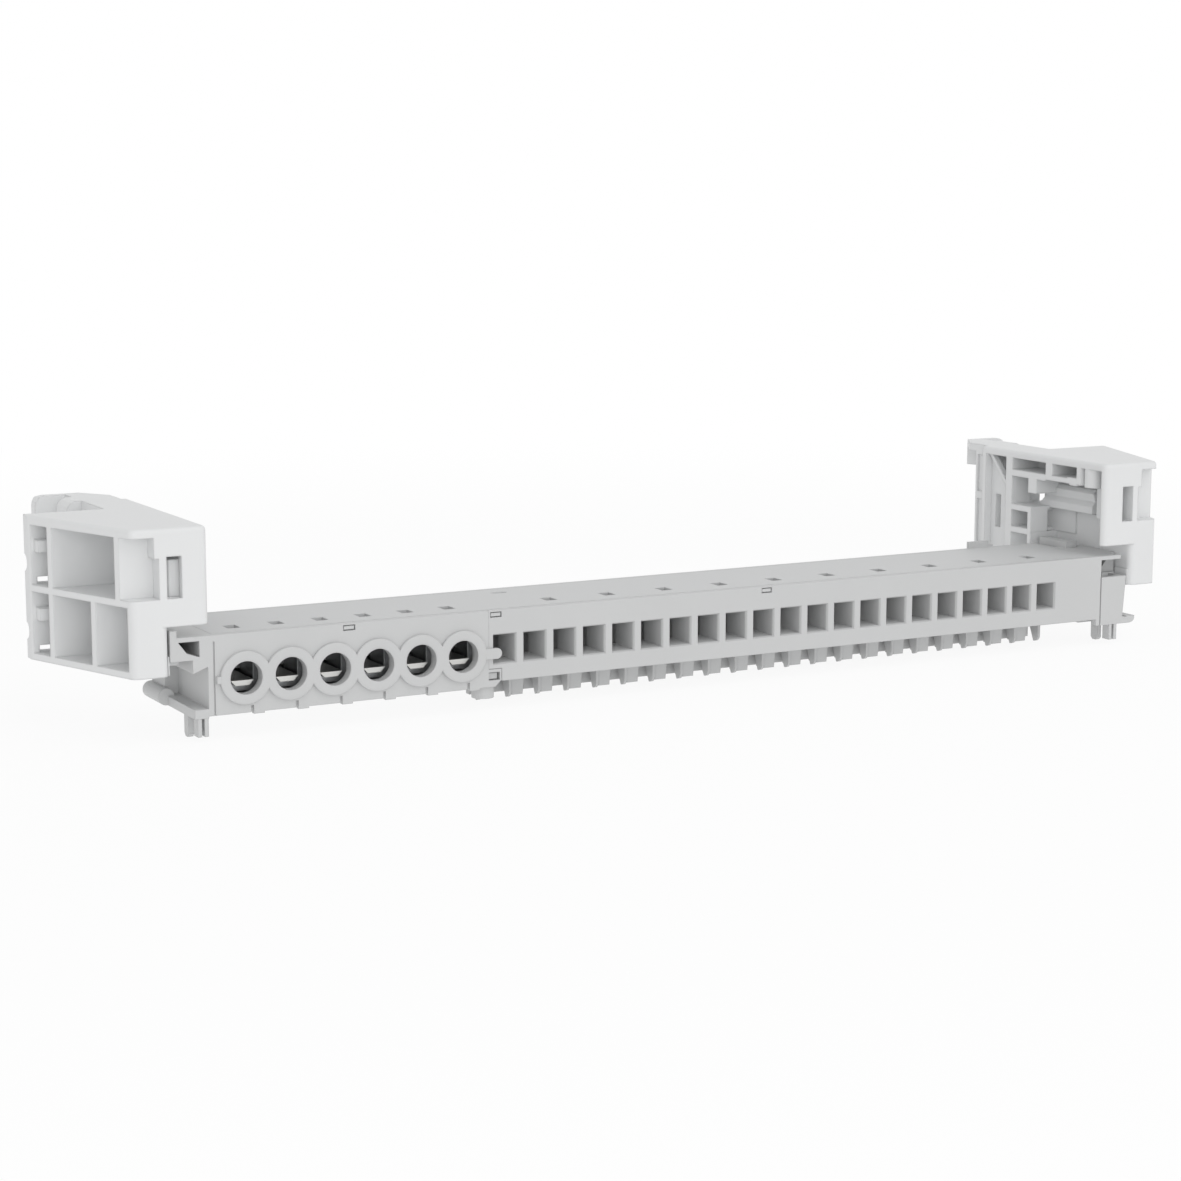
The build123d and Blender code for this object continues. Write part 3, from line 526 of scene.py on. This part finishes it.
def outward(outline):
    return [(barEnd + reach, z) for reach, z in outline]


# left end, mirrored: hook from the front on, upturned post, round bulge under the heel
screwHousingForm = {
    "carve": [
        slab((barEnd, 130), (-1, 19), (7, 26)),
        # fronts of the collars, which the rims cover
        slab((49, 117.9), (-0.9, -0.74), (5, 21)),
    ],
    "build": [
        ("y", (0, 19), outward(hookOutline)),
        slab((124.9, 126.4), (0, 19), (22, 24.2)),
        rod("y", (17, 27.4), (121.6, 6.85), 1.85),
    ],
    "pierce": [
        ("y", (-1, 20), outward(hookWindow)),
        slab((116.7, 117), (-0.1, 0.3), (5.4, 21.2)),
    ],
}

# middles of the square entries along the bar, in millimetres
entryXs = [
    (opening["box_m"][0][0] + opening["box_m"][1][0]) / 2 / mm
    for opening in frame["record"]["physics"]["openings"]
]
finSpan = (entryXs[0] - 4, entryXs[-1] + 10)  # from before the first guide fin to past the last

# right end: hook behind the cheek, shelf before it; the guide fins taper downwards
plugHousingForm = {
    "carve": [
        slab((barEnd, 130), (-1, 19), (6.8, 26)),
        ("x", finSpan, [(15.5, 6.6), (12.6, 0.1), (12.6, -1), (15.78, -1), (15.78, 6.6)]),
    ],
    "build": [
        ("y", (5.2, 19), outward(hookOutline)),
        slab((117.8, 124.3), (0, 5.2), (21.6, 22.6)),
        slab((119.7, 123), (16, 27), (21, 24.2)),
        ("y", (0, 1.5), [(116.9, 17.2), (126.2, 17.2), (125.2, 5.0), (116.9, 5.0)]),
        ("y", (0, 5), [(124.7, 17.2), (126.2, 17.2), (125.2, 5.0), (123.7, 5.0)]),
        # catch at the rear
        slab((97.2, 103.4), (27.2, 28.05), (20, 24.2)),
    ],
    "pierce": [
        ("y", (4, 20), outward(hookWindow)),
        slab((118.1, 118.4), (-0.1, 0.5), (4.9, 17.3)),
    ],
}

# access slots of the cover, narrowed to the size seen
coverSlot = {
    "width": 2.8,
    "depth": 3.8,
    "was": (4.0, 4.4),  # width and depth in the CAD solid
    "middle": 8.0,
    "height": (21.2, 22.6),
    "seat": 0.1,  # how far the new edges reach into the plate
}


def slotFrames(look, places):
    # four slabs inside the edges of every slot
    across, deep = look["was"][0] / 2 + look["seat"], look["was"][1] / 2 + look["seat"]
    halfWidth, halfDepth, middle = look["width"] / 2, look["depth"] / 2, look["middle"]
    height = look["height"]
    frames = []
    for x in places:
        wholeWidth, wholeDepth = (x - across, x + across), (middle - deep, middle + deep)
        frames.append(slab((x - across, x - halfWidth), wholeDepth, height))
        frames.append(slab((x + halfWidth, x + across), wholeDepth, height))
        frames.append(slab(wholeWidth, (middle - deep, middle - halfDepth), height))
        frames.append(slab(wholeWidth, (middle + halfDepth, middle + deep), height))
    return frames


# a seam along the front; slots over every bore and every second entry from the third on
slotXs = [place[0] / mm for place in bores] + entryXs[2::2]
coverForm = {
    "carve": [slab((-117, 117), (1.3, 1.6), (22.25, 23))],
    "build": slotFrames(coverSlot, slotXs),
}

detailed("holder_right", holderForm, 1, "holder_plastic")
detailed("holder_left", holderForm, -1, "holder_plastic")
detailed("screw_housing", screwHousingForm, -1, "housing_plastic")
detailed("plug_housing", plugHousingForm, 1, "housing_plastic")
detailed("cover", coverForm, 1, "cover_plastic")


rimLook = {
    "inner": 3.62 * mm,
    "outer": 5.75 * mm,
    "depth": 0.9 * mm,
    "front": -0.80 * mm,  # in front of the bar's face
    "round": 0.28 * mm,
    "roundSteps": 3,
    "sides": 64,
    "sharpFrom": 40,  # degrees between faces that keep a sharp edge
}


def rimTree(look):
    # one flat ring with rounded edges on every point, merged where neighbours meet
    sizes = {
        "Radius": (look["inner"] + look["outer"]) / 2,
        "Width": look["outer"] - look["inner"],
        "Depth": look["depth"],
    }
    tree = newTree("boreRim", sizes)
    nodes, links = tree.nodes, tree.links
    given = nodes.new("NodeGroupInput")
    result = nodes.new("NodeGroupOutput")
    ring = nodes.new("GeometryNodeCurvePrimitiveCircle")
    ring.inputs["Resolution"].default_value = look["sides"]
    links.new(given.outputs["Radius"], ring.inputs["Radius"])
    band = nodes.new("GeometryNodeCurvePrimitiveQuadrilateral")
    links.new(given.outputs["Width"], band.inputs["Width"])
    links.new(given.outputs["Depth"], band.inputs["Height"])
    eased = nodes.new("GeometryNodeFilletCurve")
    eased.mode = "POLY"
    eased.inputs["Count"].default_value = look["roundSteps"]
    eased.inputs["Radius"].default_value = look["round"]
    links.new(band.outputs["Curve"], eased.inputs["Curve"])
    sweep = nodes.new("GeometryNodeCurveToMesh")
    links.new(ring.outputs["Curve"], sweep.inputs["Curve"])
    links.new(eased.outputs["Curve"], sweep.inputs["Profile Curve"])
    spread = nodes.new("GeometryNodeInstanceOnPoints")
    spread.inputs["Rotation"].default_value = (math.radians(90), 0, 0)
    links.new(given.outputs["Geometry"], spread.inputs["Points"])
    links.new(sweep.outputs["Mesh"], spread.inputs["Instance"])
    real = nodes.new("GeometryNodeRealizeInstances")
    links.new(spread.outputs["Instances"], real.inputs["Geometry"])
    merge = nodes.new("GeometryNodeMeshBoolean")
    merge.operation = "UNION"
    merge.solver = "EXACT"
    merge.inputs["Self Intersection"].default_value = True
    links.new(real.outputs["Geometry"], merge.inputs[1])
    finish = nodes.new("GeometryNodeSetMaterial")
    links.new(merge.outputs["Mesh"], finish.inputs["Geometry"])
    links.new(given.outputs["Finish"], finish.inputs["Material"])
    links.new(finish.outputs["Geometry"], result.inputs[0])
    return tree


rimY = barFront * mm + rimLook["front"] + rimLook["depth"] / 2
rimSpots = [(x, rimY, z) for x, _, z in bores]
boreRims = grown("boreRims", rimSpots, rimTree(rimLook), "housing_plastic")
for polygon in boreRims.data.polygons:
    polygon.use_smooth = True
boreRims.data.set_sharp_from_angle(angle=math.radians(rimLook["sharpFrom"]))
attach(boreRims, "block")
print("rims laid round", len(rimSpots), "cable bores:", len(boreRims.data.polygons), "faces")


stageLook = {
    "floorTone": 0.90,
    "floorRoughness": 0.9,
    "floorWhite": 0.90,  # share of plain white in the floor near the object, as it is seen
    "glow": 0.60,  # the same share in the light that the floor throws on the object
    "whiteFrom": 0.20,  # metres from the middle; beyond it the floor fades to plain white
    "whiteOver": 0.35,
    "world": 0.70,  # light from all round, against 1 for the white that is seen
    "floorSize": 4.0,
    "floorGap": 0.05 * mm,
}


def seenWhole(bench):
    # 1 for rays from the camera and those mirrored or passed on, 0 for the light on things
    camera = bench.node("ShaderNodeLightPath", output="Is Camera Ray")
    shiny = bench.node("ShaderNodeLightPath", output="Is Glossy Ray")
    clear = bench.node("ShaderNodeLightPath", output="Is Transmission Ray")
    settings = {"operation": "ADD", "use_clamp": True}
    return bench.node("ShaderNodeMath", settings, {0: camera + shiny, 1: clear})


def paleFloor(look):
    # plain floor that keeps the object's shadow and fades to white further out
    material, shader, bench = newMaterial("paleFloor")
    tone = look["floorTone"]
    shader.inputs["Base Color"].default_value = (tone, tone, tone, 1)
    shader.inputs["Roughness"].default_value = look["floorRoughness"]
    seen = seenWhole(bench)
    white = bench.node("ShaderNodeEmission", None, {"Color": (1, 1, 1, 1), "Strength": 1.0})
    place = bench.node("ShaderNodeTexCoord", output="Object")
    away = bench.node("ShaderNodeVectorMath", {"operation": "LENGTH"}, {0: place}, output=1)
    fade = bench.node(
        "ShaderNodeMapRange",
        {"interpolation_type": "SMOOTHSTEP"},
        {
            "Value": away,
            "From Min": look["whiteFrom"],
            "From Max": look["whiteFrom"] + look["whiteOver"],
            "To Min": look["floorWhite"],
            "To Max": 1.0,
        },
    )
    share = look["glow"] + seen * (fade - look["glow"])
    mixed = bench.node(
        "ShaderNodeMixShader", None, {0: share, 1: Wire(bench.tree, shader.outputs[0]), 2: white}
    )
    mixed.into(bench.tree.nodes["Material Output"].inputs["Surface"])
    size = look["floorSize"]
    corners = [(-size, -size, 0), (size, -size, 0), (size, size, 0), (-size, size, 0)]
    mesh = bpy.data.meshes.new("floor")
    mesh.from_pydata(corners, [], [(0, 1, 2, 3)])
    floor = bpy.data.objects.new("floor", mesh)
    floor.location.z = cadBounds[0][2] - look["floorGap"]
    mesh.materials.append(material)
    bpy.context.scene.collection.objects.link(floor)


def softWorld(look):
    # white all round, a little weaker as light than it looks
    world = bpy.data.worlds.new("studio")
    bpy.context.scene.world = world
    world.use_nodes = True
    bench = Wire(world.node_tree)
    ground = world.node_tree.nodes["Background"]
    strength = look["world"] + seenWhole(bench) * (1.0 - look["world"])
    ground.inputs["Color"].default_value = (1, 1, 1, 1)
    strength.into(ground.inputs["Strength"])


lampLook = {
    "key": {"place": (0.35, -0.8, 1.25), "size": 1.2, "power": 4.9},
    "fill": {"place": (-0.40, -1.15, 0.22), "size": 0.7, "power": 2.6},
}


def softLamps(lamps):
    # square lamps that face the frame's origin
    for name, look in lamps.items():
        lamp = bpy.data.lights.new(name, "AREA")
        lamp.shape = "SQUARE"
        lamp.size = look["size"]
        lamp.energy = look["power"]
        stand = bpy.data.objects.new(name, lamp)
        stand.location = look["place"]
        stand.rotation_euler = Vector(look["place"]).to_track_quat("Z", "Y").to_euler()
        bpy.context.scene.collection.objects.link(stand)


# where the photograph was taken from, worked out from its vanishing points
cameraLook = {
    "place": (-0.30053, -0.54021, 0.11859),
    "turn": 28.313,  # degrees to the right of straight on
    "dip": 9.2196,  # degrees downwards
    "lens": 79.177,
    "sensor": 36.0,
    "nearest": 0.01,
}


def photoCamera(look):
    camera = bpy.data.cameras.new("photoCamera")
    camera.sensor_width = look["sensor"]
    camera.lens = look["lens"]
    camera.clip_start = look["nearest"]
    tripod = bpy.data.objects.new("photoCamera", camera)
    tripod.location = look["place"]
    tripod.rotation_euler = (math.radians(90 - look["dip"]), 0, math.radians(-look["turn"]))
    bpy.context.scene.collection.objects.link(tripod)
    bpy.context.scene.camera = tripod


paleFloor(stageLook)
softWorld(stageLook)
softLamps(lampLook)
photoCamera(cameraLook)
bpy.context.scene.view_settings.view_transform = "Standard"
print("floor, light and camera are set")
